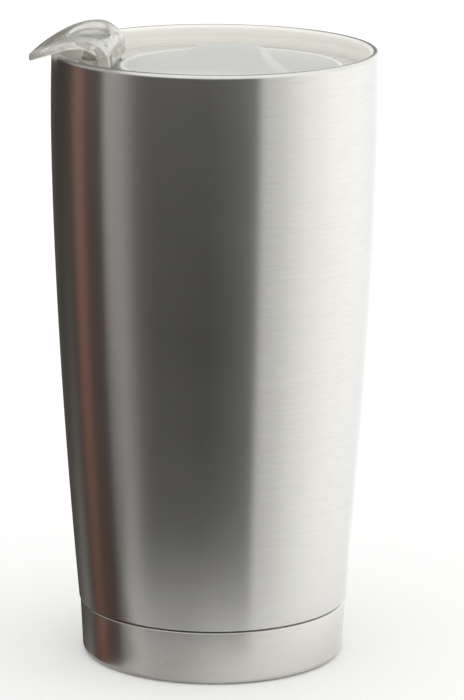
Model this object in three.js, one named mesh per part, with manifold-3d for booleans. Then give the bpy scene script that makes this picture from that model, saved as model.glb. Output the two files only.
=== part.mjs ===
// Insulated tumbler with a clear flip-top lid.
// Millimetres, +Z up. The origin is the centre of the flat base; the drinking side, where the
// lever reaches over the lip, faces -X.
import * as THREE from 'three';
import { mergeVertices } from 'three/addons/utils/BufferGeometryUtils.js';
import Module from 'manifold-3d';

const wasm = await Module();
wasm.setup();

// ---- Driving dimensions -------------------------------------------------------------------
const MOUTH_RADIUS = 44.45;      // outside of the wall at the mouth, half of a 3.5 inch cup
const RIM_HEIGHT = 168.2;        // crest of the lip above the base
const SEAM_HEIGHT = 15.3;        // groove between the outer wall and the base cap
const SEAM_TAPER = 7.36;         // how much slimmer the wall is at the seam than at the mouth
const TAPER_END = 150;           // the wall is straight above this height
const TAPER_POWER = 1.62;        // how the taper bulges between the seam and there
const SHEET = 0.8;               // steel sheet
const GAP = 0.3;                 // between neighbouring pieces
const LIP_RADIUS = 1.13;         // rounding of the lip
const LIP_RETURN = 1.8;          // straight part of the lip, down to the weld with the liner
const VACUUM_GAP = 2.4;          // between the two walls
const LINER_FLOOR = 14.8;        // under side of the liner's bottom
const LINER_CORNER = 7.8;        // outer rounding of the liner's bottom corner
const NECK_RADIUS = 35.7;        // stepped-in lower end of the outer wall, inside the base cap
const NECK_BOTTOM = 6;
const CLOSURE_HEIGHT = 9;        // plate that closes the vacuum space
const CLOSURE_DISH = 1.2;        // raised middle of that plate, around its seal
const GETTER_OFFSET = 15;        // gas absorber pellet, on the closure plate
const GETTER_RADIUS = 5;
const GETTER_THICKNESS = 1.8;
const CAP_FOOT_RADIUS = 36.12;   // base cap, at the top of its bottom rounding
const CAP_TOP_RADIUS = 36.8;
const CAP_ROUNDING = 1.9;
const FOOT_GROOVE_INNER = 24.5;  // shallow groove pressed into the flat of the base
const FOOT_GROOVE_OUTER = 30.3;
const LEDGE_HEIGHT = 155;        // top of the conical ledge inside the liner
const FLOOR_TOP = 162.6;         // upper face of the lid's flange and floor
const FLOOR_THICKNESS = 2;
const FLANGE_RADIUS = 41.6;
const SKIRT_RADIUS = 39.6;
const SKIRT_BOTTOM = 151.5;
const SKIRT_WALL = 1.8;
const GROOVE_BOTTOM = 155.6;     // gasket groove round the skirt
const GROOVE_TOP = 158.4;
const GROOVE_DEPTH = 1;
const GASKET_RADIUS = 41.9;      // over its two lips
const PANEL_RADIUS = 30.3;       // round panel on the lid, set back from the drinking side
const PANEL_OFFSET = 4.3;
const HINGE_X = -29.1;
const HINGE_HEIGHT = 167.8;
const PIN_RADIUS = 0.9;
const SIP_X = -32.6;             // centre of the sip hole
const VENT_X = 36.1;
const VENT_RADIUS = 0.9;
const BODY_SEGMENTS = 48;

// ---- Helpers ------------------------------------------------------------------------------
function bodyRadius(height) {
  if (height >= TAPER_END) return MOUTH_RADIUS;
  const fraction = (TAPER_END - height) / (TAPER_END - SEAM_HEIGHT);
  return MOUTH_RADIUS - SEAM_TAPER * fraction ** TAPER_POWER;
}

// Points [radius, height] along an arc, angles in degrees from the outward direction.
function arc(radius, height, size, from, to, steps) {
  const points = [];
  for (let i = 0; i <= steps; i++) {
    const angle = THREE.MathUtils.degToRad(from + (to - from) * i / steps);
    points.push([radius + size * Math.cos(angle), height + size * Math.sin(angle)]);
  }
  return points;
}

// Points [radius, height] of a wall that follows the outer wall, inset by some distance.
function wall(inset, from, to, steps) {
  const points = [];
  for (let i = 0; i <= steps; i++) {
    const height = from + (to - from) * i / steps;
    points.push([bodyRadius(height) - inset, height]);
  }
  return points;
}

// A solid of revolution about Z. The outline runs anticlockwise with radius to the right.
function turned(outline, segments = BODY_SEGMENTS, closed = true) {
  const points = outline.map(([radius, height]) => new THREE.Vector2(radius, height));
  if (closed) points.push(points[0].clone());
  return new THREE.LatheGeometry(points, segments).rotateX(Math.PI / 2);
}

// A plate drawn in the XZ plane and thickened along Y from yLow to yHigh.
function plateAcross(shape, yLow, yHigh, curveSegments = 6) {
  const options = { depth: yHigh - yLow, bevelEnabled: false, curveSegments };
  return new THREE.ExtrudeGeometry(shape, options).rotateX(Math.PI / 2).translate(0, yHigh, 0);
}

function rodAcross(radius, x, height, yLow, yHigh, segments = 20) {
  return new THREE.CylinderGeometry(radius, radius, yHigh - yLow, segments)
    .translate(x, (yLow + yHigh) / 2, height);
}

function toSolid(geometry) {
  const bare = geometry.clone();
  bare.deleteAttribute('normal');
  bare.deleteAttribute('uv');
  const merged = mergeVertices(bare, 1e-4);
  const triVerts = [];
  for (let i = 0; i < merged.index.count; i += 3) {
    const [a, b, c] = [0, 1, 2].map((k) => merged.index.getX(i + k));
    if (a !== b && b !== c && c !== a) triVerts.push(a, b, c);
  }
  return new wasm.Manifold(new wasm.Mesh({
    numProp: 3,
    vertProperties: new Float32Array(merged.attributes.position.array),
    triVerts: new Uint32Array(triVerts),
  }));
}

function toGeometry(solid) {
  const mesh = solid.getMesh();
  const geometry = new THREE.BufferGeometry();
  geometry.setAttribute('position', new THREE.BufferAttribute(mesh.vertProperties, 3));
  geometry.setIndex(new THREE.BufferAttribute(mesh.triVerts, 1));
  return geometry;
}

// Joins the pieces to the first solid, then cuts the cutters from it.
function shaped(base, { join = [], cut = [] }) {
  let solid = toSolid(base);
  for (const piece of join) solid = solid.add(toSolid(piece));
  for (const cutter of cut) solid = solid.subtract(toSolid(cutter));
  return toGeometry(solid);
}

// ---- Steel vessel -------------------------------------------------------------------------
function outerShell() {
  const lipBase = RIM_HEIGHT - LIP_RADIUS;
  const lipInner = MOUTH_RADIUS - 2 * LIP_RADIUS;
  const weld = lipBase - LIP_RETURN;
  const shoulder = SEAM_HEIGHT + 0.6;
  return turned([
    [NECK_RADIUS - SHEET, NECK_BOTTOM],
    [NECK_RADIUS, SEAM_HEIGHT - 0.2],
    [bodyRadius(shoulder) - 0.4, SEAM_HEIGHT + 0.2],
    ...wall(0, shoulder, TAPER_END, 8),
    ...arc(MOUTH_RADIUS - LIP_RADIUS, lipBase, LIP_RADIUS, 0, 180, 6),
    [lipInner, weld],
    [MOUTH_RADIUS - SHEET, weld],
    ...wall(SHEET, TAPER_END, shoulder + SHEET, 8),
    [NECK_RADIUS - SHEET, SEAM_HEIGHT + SHEET],
    [NECK_RADIUS - 2 * SHEET, NECK_BOTTOM],
  ]);
}

function innerLiner() {
  const boreRadius = MOUTH_RADIUS - 2 * LIP_RADIUS;
  const top = RIM_HEIGHT - LIP_RADIUS - LIP_RETURN - GAP;
  const inset = VACUUM_GAP + SHEET;
  const corner = LINER_CORNER;
  const cornerHeight = LINER_FLOOR + corner;
  const cornerRadius = bodyRadius(cornerHeight) - inset - corner;
  const wallStart = cornerHeight + 2 * corner;
  return turned([
    [0, LINER_FLOOR],
    ...arc(cornerRadius, cornerHeight, corner, -90, 0, 4),
    ...wall(inset, wallStart, LEDGE_HEIGHT - 2.3, 7),
    [boreRadius + SHEET, LEDGE_HEIGHT - 0.3],
    [boreRadius + SHEET, top],
    [boreRadius, top],
    [boreRadius, LEDGE_HEIGHT],
    ...wall(inset + SHEET, LEDGE_HEIGHT - 2, wallStart, 7),
    ...arc(cornerRadius, cornerHeight, corner - SHEET, 0, -90, 4),
    [0, LINER_FLOOR + SHEET],
  ], BODY_SEGMENTS, false);
}

// Plate with a turned-down edge, and a hole in its raised middle for the seal.
function vacuumBottom() {
  const edge = NECK_RADIUS - 2 * SHEET - GAP - 0.05;
  const foot = NECK_BOTTOM + 0.2;
  const floor = CLOSURE_HEIGHT;
  const dish = floor + CLOSURE_DISH;
  return turned([
    [1, dish],
    [4.5, dish],
    [6.5, floor],
    [edge - SHEET, floor],
    [edge - SHEET, foot],
    [edge, foot],
    [edge, floor + 0.4],
    [edge - 0.4, floor + SHEET],
    [6.8, floor + SHEET],
    [4.8, dish + SHEET],
    [1, dish + SHEET],
  ], 36);
}

// Bead of fused glass under the hole.
function vacuumSeal() {
  const top = CLOSURE_HEIGHT + CLOSURE_DISH - GAP;
  return turned([[0, top - 1], [2, top - 0.8], [2.8, top - 0.3], [2.6, top], [0, top]], 16, false);
}

function getter() {
  const height = CLOSURE_HEIGHT + SHEET + 0.4 + GETTER_THICKNESS / 2;
  return new THREE.CylinderGeometry(GETTER_RADIUS, GETTER_RADIUS, GETTER_THICKNESS, 24)
    .rotateX(Math.PI / 2)
    .translate(GETTER_OFFSET, 0, height);
}

function baseCap() {
  const top = SEAM_HEIGHT - 0.35;
  return turned([
    [0, 0],
    [FOOT_GROOVE_INNER, 0],
    [FOOT_GROOVE_INNER + 0.8, SHEET],
    [FOOT_GROOVE_OUTER - 0.8, SHEET],
    [FOOT_GROOVE_OUTER, 0],
    ...arc(CAP_FOOT_RADIUS - CAP_ROUNDING, CAP_ROUNDING, CAP_ROUNDING, -90, 0, 3),
    [CAP_TOP_RADIUS, top - 0.3],
    [CAP_TOP_RADIUS - 0.3, top],
    [CAP_TOP_RADIUS - SHEET, top],
    ...arc(CAP_FOOT_RADIUS - CAP_ROUNDING, CAP_ROUNDING, CAP_ROUNDING - SHEET, 0, -90, 3),
    [FOOT_GROOVE_OUTER + 0.3, SHEET],
    [FOOT_GROOVE_OUTER - 0.5, 2 * SHEET],
    [FOOT_GROOVE_INNER + 0.5, 2 * SHEET],
    [FOOT_GROOVE_INNER - 0.3, SHEET],
    [0, SHEET],
  ], BODY_SEGMENTS, false);
}

// ---- Lid ----------------------------------------------------------------------------------
const FLOOR_BOTTOM = FLOOR_TOP - FLOOR_THICKNESS;
const LUG_INNER = 10.1;
const LUG_OUTER = 12.3;
const LUG_RADIUS = 2.1;
const POST_HALF_DEPTH = 1.3;     // of a lug, between its foot and its round head
const OVAL_RATIO = 2.1;          // the sip hole and plug are this much wider than they are deep
const SIP_HALF_DEPTH = 4.1;

// An oval solid of revolution, stretched across the lid and centred on x.
function oval(outline, x, segments = 28) {
  return turned(outline, segments, false).scale(1, OVAL_RATIO, 1).translate(x, 0, 0);
}

// Outline of a cutter [radius, height] that goes right through the lid's floor.
function throughFloor(radius) {
  return [[0, FLOOR_BOTTOM - 1], [radius, FLOOR_BOTTOM - 1], [radius, FLOOR_TOP + 1], [0, FLOOR_TOP + 1]];
}

// Side view of a hinge lug: a round head on a narrower post, with a foot that flares out.
function lugShape() {
  const foot = FLOOR_TOP - 0.5;
  const shape = new THREE.Shape();
  shape.moveTo(HINGE_X - LUG_RADIUS - 0.9, foot);
  shape.lineTo(HINGE_X + LUG_RADIUS + 0.9, foot);
  shape.lineTo(HINGE_X + LUG_RADIUS, FLOOR_TOP + 0.6);
  shape.lineTo(HINGE_X + POST_HALF_DEPTH, FLOOR_TOP + 1.8);
  shape.lineTo(HINGE_X + POST_HALF_DEPTH, HINGE_HEIGHT - 1.6);
  shape.absarc(HINGE_X, HINGE_HEIGHT, LUG_RADIUS, -0.9, Math.PI + 0.9, false);
  shape.lineTo(HINGE_X - POST_HALF_DEPTH, FLOOR_TOP + 1.8);
  shape.lineTo(HINGE_X - LUG_RADIUS, FLOOR_TOP + 0.6);
  return shape;
}

// Floor with a flange and a skirt; the skirt carries the gasket groove.
function lidDisc() {
  const inner = SKIRT_RADIUS - SKIRT_WALL;
  const groove = SKIRT_RADIUS - GROOVE_DEPTH;
  return turned([
    [0, FLOOR_BOTTOM],
    [inner - 1, FLOOR_BOTTOM],
    [inner, FLOOR_BOTTOM - 1],
    [inner, SKIRT_BOTTOM],
    [SKIRT_RADIUS - 0.3, SKIRT_BOTTOM],
    [SKIRT_RADIUS, SKIRT_BOTTOM + 0.6],
    [SKIRT_RADIUS, GROOVE_BOTTOM],
    [groove, GROOVE_BOTTOM],
    [groove, GROOVE_TOP],
    [SKIRT_RADIUS, GROOVE_TOP],
    [SKIRT_RADIUS, FLOOR_BOTTOM],
    [FLANGE_RADIUS - 0.4, FLOOR_BOTTOM],
    [FLANGE_RADIUS, FLOOR_BOTTOM + 0.4],
    [FLANGE_RADIUS, FLOOR_TOP - 0.5],
    [FLANGE_RADIUS - 0.5, FLOOR_TOP],
    [0, FLOOR_TOP],
  ], BODY_SEGMENTS, false);
}

function lidBody() {
  const lugWidth = LUG_OUTER - LUG_INNER;
  const lugs = [-LUG_OUTER, LUG_INNER].map((y) => plateAcross(lugShape(), y, y + lugWidth, 8));
  const sipHole = oval(throughFloor(SIP_HALF_DEPTH), SIP_X);
  const ventHole = turned(throughFloor(VENT_RADIUS), 12, false).translate(VENT_X, 0, 0);
  const pinHole = rodAcross(PIN_RADIUS + 0.15, HINGE_X, HINGE_HEIGHT, -20, 20);
  return shaped(lidDisc(), { join: lugs, cut: [sipHole, ventHole, pinHole] });
}

// Silicone ring with two lips, shown as pressed against the liner.
function lidGasket() {
  const inner = SKIRT_RADIUS - GROOVE_DEPTH + GAP;
  const bottom = GROOVE_BOTTOM + GAP;
  const top = GROOVE_TOP - GAP;
  return turned([
    [inner, bottom],
    [SKIRT_RADIUS + 0.4, bottom],
    [GASKET_RADIUS - 0.1, bottom + 0.4],
    [GASKET_RADIUS, bottom + 0.9],
    [SKIRT_RADIUS + 1, bottom + 1.1],
    [GASKET_RADIUS - 0.1, top - 0.6],
    [GASKET_RADIUS, top - 0.1],
    [SKIRT_RADIUS + 0.4, top],
    [inner, top],
  ]);
}

const PANEL_BOTTOM = FLOOR_TOP + GAP;
const PANEL_TOP = 163.9;         // rim of the panel
const PANEL_RIM_WIDTH = 1.3;
const SCOOP_DEPTH = 0.4;         // finger scoops either side of the grip, below the rim
const GRIP_TOP = 165.2;

// Raised grip across the panel, seen from above: it widens from +Y to -Y.
const GRIP_OUTLINE = [[-12.5, 27], [4.7, 29.2], [14.6, -8.5], [19, -22.8], [-19, -22.8], [-17, -8.5]];

function lidPanel() {
  const scoopFloor = PANEL_TOP - SCOOP_DEPTH;
  const disc = turned([
    [0, PANEL_BOTTOM],
    [PANEL_RADIUS - 0.2, PANEL_BOTTOM],
    [PANEL_RADIUS, PANEL_BOTTOM + 0.3],
    [PANEL_RADIUS, PANEL_TOP - 0.4],
    [PANEL_RADIUS - 0.4, PANEL_TOP],
    [PANEL_RADIUS - PANEL_RIM_WIDTH, PANEL_TOP],
    [PANEL_RADIUS - PANEL_RIM_WIDTH - 0.5, scoopFloor],
    [0, scoopFloor],
  ], 40, false);
  const outline = new THREE.Shape(GRIP_OUTLINE.map(([x, y]) => new THREE.Vector2(x, y)));
  const gripBottom = scoopFloor - 0.2;
  const options = { depth: GRIP_TOP - gripBottom, bevelEnabled: false };
  const grip = new THREE.ExtrudeGeometry(outline, options).translate(0, 0, gripBottom);
  return shaped(disc, { join: [grip] });
}

// ---- Flip lever ---------------------------------------------------------------------------
const HOOD_THICKNESS = 2.8;
const HOOD_TIP_THICKNESS = 1.9;
const HOOD_CROWN = 0.2;          // how far the sides of the hood lie below its middle
const HOOD_CHANNEL = 1.25;       // depth of the channel under its middle, over the lip
const HOOD_HALF_WIDTH = 18.6;
const HOOD_WIDEST_X = -34.5;
const HOOD_TIP_X = -50.4;
const KNUCKLE_RADIUS = 1.7;

// Middle line of the hood's top face, tip to root, in the XZ plane.
const hoodLine = new THREE.CatmullRomCurve3([
  new THREE.Vector3(HOOD_TIP_X, 0, RIM_HEIGHT - 2.2),
  new THREE.Vector3(-47.3, 0, RIM_HEIGHT + 0.15),
  new THREE.Vector3(-42.2, 0, RIM_HEIGHT + 2.9),
  new THREE.Vector3(-37.2, 0, RIM_HEIGHT + 4.4),
  new THREE.Vector3(-32.2, 0, RIM_HEIGHT + 4.35),
  new THREE.Vector3(-28.4, 0, RIM_HEIGHT + 1.95),
  new THREE.Vector3(-26.95, 0, RIM_HEIGHT - 0.65),
  new THREE.Vector3(-26.6, 0, RIM_HEIGHT - 4.5),
], false, 'centripetal');

function hoodHalfWidth(x) {
  const reach = x < HOOD_WIDEST_X ? HOOD_WIDEST_X - HOOD_TIP_X + 0.25 : 20;
  const share = Math.abs(x - HOOD_WIDEST_X) / reach;
  return HOOD_HALF_WIDTH * Math.sqrt(1 - share * share);
}

// Depth of the channel along the hood, from its tip (0) to its root (1).
function channelDepth(along) {
  const { smoothstep } = THREE.MathUtils;
  return HOOD_CHANNEL * smoothstep(along, 0.02, 0.2) * (1 - smoothstep(along, 0.34, 0.48));
}

// Loop of points across the hood, over its top and back along its under side. The hood is
// thinner at the tip (along = 0), where its end face stands upright.
function hoodRing(along, acrossSteps) {
  const place = hoodLine.getPointAt(along);
  const tangent = hoodLine.getTangentAt(along);
  const normal = new THREE.Vector3(-tangent.z, 0, tangent.x);
  const awayFromTip = Math.min(1, 4 * along);
  const thickness = THREE.MathUtils.lerp(HOOD_TIP_THICKNESS, HOOD_THICKNESS, awayFromTip);
  const down = new THREE.Vector3(0, 0, -1);
  const inward = down.lerp(normal.clone().negate(), awayFromTip).normalize();
  const halfWidth = hoodHalfWidth(place.x);
  const drop = HOOD_CROWN * Math.sin(Math.PI * along);
  const upper = [];
  const lower = [];
  for (let j = 0; j <= acrossSteps; j++) {
    const across = -1 + 2 * j / acrossSteps;
    const top = place.clone().addScaledVector(normal, -drop * across * across);
    top.y = across * halfWidth;
    upper.push(top);
    const hollow = channelDepth(along) * (1 - across * across);
    lower.unshift(top.clone().addScaledVector(inward, thickness - hollow));
  }
  return [...upper, ...lower];
}

function hood() {
  const alongSteps = 22;
  const rings = [];
  for (let i = 0; i <= alongSteps; i++) {
    rings.push(hoodRing(i / alongSteps, 10));
  }
  return loft(rings);
}

// Closed solid through equal rings of points, with flat fans at both ends.
function loft(rings) {
  const size = rings[0].length;
  const points = rings.flat();
  const index = [];
  for (let i = 0; i + 1 < rings.length; i++) {
    for (let j = 0; j < size; j++) {
      const a = i * size + j;
      const b = i * size + (j + 1) % size;
      index.push(a, b + size, b, a, a + size, b + size);
    }
  }
  const last = points.length - size;
  for (let j = 0; j + 1 < size / 2; j++) {
    const across = size - 1 - j;
    index.push(j, across - 1, across, j, j + 1, across - 1);
    index.push(last + j, last + across - 1, last + j + 1);
    index.push(last + j, last + across, last + across - 1);
  }
  const geometry = new THREE.BufferGeometry().setFromPoints(points);
  geometry.setIndex(index);
  return geometry;
}

const STEM_BOTTOM = 163.9;       // stem inside the hood, which carries the plug seal
const STEM_WAIST = 166.5;
const STEM_TOP = 170.8;
const RECESS_X = -34.3;          // centre of the oval thumb recess in the hood's top
const RECESS_FLOOR = RIM_HEIGHT + 2.7;
const SEAL_BOTTOM = 161.6;
const SEAL_TOP = 165.2;

// Boxes that clear the lugs and the plug seal: one slot per lug, from below up to just over its
// head, and the space under the knuckle, which leaves a thin wall at the hood's root.
function hingeCuts() {
  const lugMiddle = (LUG_OUTER + LUG_INNER) / 2;
  const slotWidth = LUG_OUTER - LUG_INNER + 2 * GAP;
  const slotTop = HINGE_HEIGHT + LUG_RADIUS + GAP;
  const slots = [-1, 1].map((side) => new THREE.BoxGeometry(6.6, slotWidth, 10)
    .translate(HINGE_X + 0.7, side * lugMiddle, slotTop - 5));
  const underKnuckle = new THREE.BoxGeometry(5.2, 2 * LUG_INNER, 6)
    .translate(HINGE_X - 1.25, 0, HINGE_HEIGHT - 4.9);
  return [underKnuckle, ...slots];
}

function flipLever() {
  const halfKnuckle = LUG_INNER - GAP;
  const knuckle = rodAcross(KNUCKLE_RADIUS, HINGE_X, HINGE_HEIGHT, -halfKnuckle, halfKnuckle);
  const stem = oval([
    [0, STEM_BOTTOM],
    [3, STEM_BOTTOM],
    [3.2, STEM_WAIST],
    [4, STEM_TOP - 1],
    [4.1, STEM_TOP],
    [0, STEM_TOP],
  ], SIP_X);
  const stemHollow = oval([
    [0, STEM_BOTTOM - 1],
    [1.8, STEM_BOTTOM - 1],
    [2, STEM_WAIST],
    [2.6, RIM_HEIGHT],
    [0, RIM_HEIGHT],
  ], SIP_X);
  const recess = oval([
    [0, RECESS_FLOOR],
    [4.7, RECESS_FLOOR],
    [5.6, RECESS_FLOOR + 0.7],
    [6.2, RECESS_FLOOR + 2],
    [6.5, 176],
    [0, 176],
  ], RECESS_X);
  const pinHole = rodAcross(PIN_RADIUS + 0.15, HINGE_X, HINGE_HEIGHT, -LUG_INNER, LUG_INNER);
  const shell = shaped(hood(), { cut: hingeCuts() });
  return shaped(shell, { join: [knuckle, stem], cut: [recess, stemHollow, pinHole] });
}

// Silicone plug: a nose in the sip hole, a flange on the lid's floor and a socket for the stem.
function plugSeal() {
  const boot = oval([
    [0, SEAL_BOTTOM],
    [3, SEAL_BOTTOM],
    [3.2, SEAL_BOTTOM + 0.4],
    [3.2, FLOOR_TOP + GAP],
    [4.6, FLOOR_TOP + GAP],
    [4.6, SEAL_TOP - 1.2],
    [4.2, SEAL_TOP - 0.8],
    [4.1, SEAL_TOP],
    [0, SEAL_TOP],
  ], SIP_X);
  const socket = oval([
    [0, STEM_BOTTOM - GAP],
    [3.3, STEM_BOTTOM - GAP],
    [3.5, SEAL_TOP + 0.8],
    [0, SEAL_TOP + 0.8],
  ], SIP_X);
  return shaped(boot, { cut: [socket] });
}

function hingePin() {
  return rodAcross(PIN_RADIUS, HINGE_X, HINGE_HEIGHT, -LUG_OUTER, LUG_OUTER, 16);
}

// ---- Materials ----------------------------------------------------------------------------
function metal(color, roughness) {
  return new THREE.MeshStandardMaterial({ color, roughness, metalness: 1 });
}

function matt(color, roughness) {
  return new THREE.MeshStandardMaterial({ color, roughness, metalness: 0 });
}

function clearPlastic(opacity) {
  const color = 0xe9ebe6;
  return new THREE.MeshStandardMaterial({ color, roughness: 0.08, metalness: 0, transparent: true, opacity });
}

// ---- Assembly -----------------------------------------------------------------------------
function piece(name, geometry, material) {
  const mesh = new THREE.Mesh(geometry, material);
  mesh.name = name;
  return mesh;
}

const vessel = new THREE.Group();
vessel.add(
  piece('outer_shell', outerShell(), metal(0x9c9893, 0.32)),
  piece('inner_liner', innerLiner(), metal(0xa8a294, 0.25)),
  piece('vacuum_bottom', vacuumBottom(), metal(0x8d8a86, 0.4)),
  piece('vacuum_seal', vacuumSeal(), matt(0x6f7276, 0.3)),
  piece('getter', getter(), metal(0x77736d, 0.6)),
  piece('base_cap', baseCap(), metal(0xa7a39c, 0.36)),
);

const lever = new THREE.Group();
lever.add(
  piece('flip_lever', flipLever(), clearPlastic(0.4)),
  piece('plug_seal', plugSeal(), matt(0xe4e5e0, 0.55)),
);

const lid = new THREE.Group();
const panel = piece('lid_panel', lidPanel(), matt(0xcdcec8, 0.35));
panel.position.set(PANEL_OFFSET, 0, 0);
lid.add(
  piece('lid_body', lidBody(), clearPlastic(0.35)),
  piece('lid_gasket', lidGasket(), matt(0xe4e5e0, 0.55)),
  panel,
  piece('hinge_pin', hingePin(), clearPlastic(0.5)),
  lever,
);

const tumbler = new THREE.Group();
tumbler.add(vessel, lid);

export default tumbler;
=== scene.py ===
"""Looks of the insulated tumbler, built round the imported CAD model.

Shapes are drawn in millimetres and stored in metres. The frame has +Z up and the origin at the
centre of the flat base; the lever reaches over the lip towards -X.
"""
import math

import bpy
import numpy as np
from mathutils import Matrix, Vector


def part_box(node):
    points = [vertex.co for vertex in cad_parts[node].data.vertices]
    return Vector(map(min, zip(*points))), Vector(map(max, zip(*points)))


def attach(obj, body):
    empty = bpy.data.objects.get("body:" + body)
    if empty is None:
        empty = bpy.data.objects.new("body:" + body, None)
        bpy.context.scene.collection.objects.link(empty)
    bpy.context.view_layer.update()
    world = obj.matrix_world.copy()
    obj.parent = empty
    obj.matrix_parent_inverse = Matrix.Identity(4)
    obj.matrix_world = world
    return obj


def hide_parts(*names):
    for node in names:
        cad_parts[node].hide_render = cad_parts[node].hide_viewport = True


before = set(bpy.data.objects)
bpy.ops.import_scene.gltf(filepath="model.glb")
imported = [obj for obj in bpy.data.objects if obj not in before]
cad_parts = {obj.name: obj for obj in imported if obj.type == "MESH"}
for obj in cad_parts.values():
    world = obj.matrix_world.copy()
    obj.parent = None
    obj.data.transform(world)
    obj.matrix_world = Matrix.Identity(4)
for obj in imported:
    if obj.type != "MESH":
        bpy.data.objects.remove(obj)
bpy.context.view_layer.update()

MM = 0.001
SCENE = bpy.context.scene


def corners(node):
    """Lowest and highest corner of a CAD node, in millimetres."""
    low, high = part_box(node)
    return low / MM, high / MM


# ---- Sizes, from the frame where it has them, in millimetres ---------------------------------
SHELL_LOW, SHELL_HIGH = corners("outer_shell")
LINER_LOW = corners("inner_liner")[0]
CAP_HIGH = corners("base_cap")[1]
LID_LOW, LID_HIGH = corners("lid_body")
PANEL_LOW, PANEL_HIGH = corners("lid_panel")
GASKET_LOW, GASKET_HIGH = corners("lid_gasket")
PIN_LOW, PIN_HIGH = corners("hinge_pin")
LEVER_LOW, LEVER_HIGH = corners("flip_lever")
SEAL_LOW, SEAL_HIGH = corners("plug_seal")

MOUTH_RADIUS = SHELL_HIGH.x
RIM_HEIGHT = SHELL_HIGH.z
SHEET = 0.8
GAP = 0.3                         # between pieces that touch in the real tumbler
LIP_RADIUS = 1.13
LIP_RETURN = 1.8
BORE_RADIUS = MOUTH_RADIUS - 2 * LIP_RADIUS
SEAM_HEIGHT = CAP_HIGH.z + 0.35
SEAM_TAPER = 7.36
TAPER_END = 150
TAPER_POWER = 1.62
SHOULDER_START = 151              # above this the wall is drawn in towards the lip
SHOULDER_INSET = 0.25
WALL_INSET = 3.2
NECK_RADIUS = 35.7
LEDGE_HEIGHT = 155
LINER_CORNER = 7.8
CAP_RADIUS = CAP_HIGH.x
CAP_FOOT_RADIUS = 36.12
CAP_ROUNDING = 1.9
FOOT_GROOVE_INNER = 24.5
FOOT_GROOVE_OUTER = 30.3
FLOOR_TOP = PANEL_LOW.z - GAP
FLOOR_BOTTOM = FLOOR_TOP - 2
FLANGE_RADIUS = LID_HIGH.x
SKIRT_RADIUS = FLANGE_RADIUS - 2
SKIRT_BOTTOM = LID_LOW.z
SKIRT_THICKNESS = 1.8
GROOVE_BOTTOM = GASKET_LOW.z - GAP
GROOVE_TOP = GASKET_HIGH.z + GAP
GROOVE_DEPTH = 1
PANEL_RADIUS = (PANEL_HIGH.y - PANEL_LOW.y) / 2
PANEL_X = (PANEL_HIGH.x + PANEL_LOW.x) / 2
PANEL_RIM = 163.9
GRIP_TOP = PANEL_HIGH.z
GRIP_OUTLINE = [(-12.5, 27), (4.7, 29.2), (14.6, -8.5), (19, -22.8), (-19, -22.8), (-17, -8.5)]
GRIP_EDGE_FAR = 1.6               # half width of the slope at the grip's edge, on the +Y side
GRIP_EDGE_NEAR = 4.5
GRIP_EDGE_CHANGE = (-26, 4)       # between these distances towards -Y the edge gets softer
RIM_SLOPE = (1.0, 2.4)            # how far inside the panel's edge its rim steps down
RIM_STEP = 0.3
SCOOP_SLOPE = (2.0, 16.0)         # and where the scoop round the grip gets deeper
SCOOP_DEPTH = 0.5
PANEL_EDGE = 0.55                 # rounding of the rim's outer edge
PANEL_EDGE_STEPS = 8
PANEL_STEPS = 90                  # from the centre to that edge
PANEL_CHAMFER = 0.25              # at its foot
HINGE_X = (PIN_LOW.x + PIN_HIGH.x) / 2
HINGE_HEIGHT = (PIN_LOW.z + PIN_HIGH.z) / 2
PIN_RADIUS = (PIN_HIGH.x - PIN_LOW.x) / 2
LUG_OUTER = PIN_HIGH.y
LUG_INNER = LUG_OUTER - 2.2
LUG_RADIUS = LID_HIGH.z - HINGE_HEIGHT
LUG_PLAY = 0.12                   # round the pin
KNUCKLE_PLAY = 0.15
BORE_REACH = 20
SIP_X = (SEAL_LOW.x + SEAL_HIGH.x) / 2
SIP_HALF_DEPTH = 4.1
POST_HALF_DEPTH = 1.3
OVAL_RATIO = 2.1
VENT_X = 36.1
VENT_RADIUS = 0.9
ROUND_SEGMENTS = 256
OVAL_SEGMENTS = 96
ROD_SEGMENTS = 64


def body_radius(height):
    """Outside of the steel wall at a height: tapered below, and drawn in slightly under the lip."""
    if height >= TAPER_END:
        share = max(0, height - SHOULDER_START) / (RIM_HEIGHT - SHOULDER_START)
        return MOUTH_RADIUS - SHOULDER_INSET * share * share
    fraction = (TAPER_END - height) / (TAPER_END - SEAM_HEIGHT)
    return MOUTH_RADIUS - SEAM_TAPER * fraction ** TAPER_POWER


# ---- Mesh helpers ----------------------------------------------------------------------------
def add_object(name, points, faces):
    """A smooth-shaded object from points in millimetres."""
    mesh = bpy.data.meshes.new(name)
    mesh.from_pydata([tuple(p) for p in points], [], faces)
    mesh.validate()
    mesh.shade_smooth()
    obj = bpy.data.objects.new(name, mesh)
    SCENE.collection.objects.link(obj)
    return obj


def apply_modifiers(obj):
    graph = bpy.context.evaluated_depsgraph_get()
    mesh = bpy.data.meshes.new_from_object(obj.evaluated_get(graph), depsgraph=graph)
    obj.modifiers.clear()
    old = obj.data
    obj.data = mesh
    bpy.data.meshes.remove(old)


def combine(obj, operation, others):
    """Joins other solids to obj ("UNION") or cuts them from it ("DIFFERENCE")."""
    for other in others:
        modifier = obj.modifiers.new("combine", "BOOLEAN")
        modifier.operation = operation
        modifier.solver = "MANIFOLD"
        modifier.object = other
        bpy.context.view_layer.update()
        apply_modifiers(obj)
        bpy.data.objects.remove(other)


def crease(obj, degrees=32):
    """Smooth shading, but edges sharper than this stay sharp."""
    obj.data.shade_smooth()
    obj.data.set_sharp_from_angle(angle=math.radians(degrees))
    return obj


def in_metres(obj):
    obj.data.transform(Matrix.Scale(MM, 4))


def finish_piece(obj, body, node, material):
    """Scales a finished piece to metres, paints it, and lets it stand for its CAD node."""
    in_metres(obj)
    obj.data.materials.clear()
    obj.data.materials.append(material)
    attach(obj, body)
    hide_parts(node)


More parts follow.
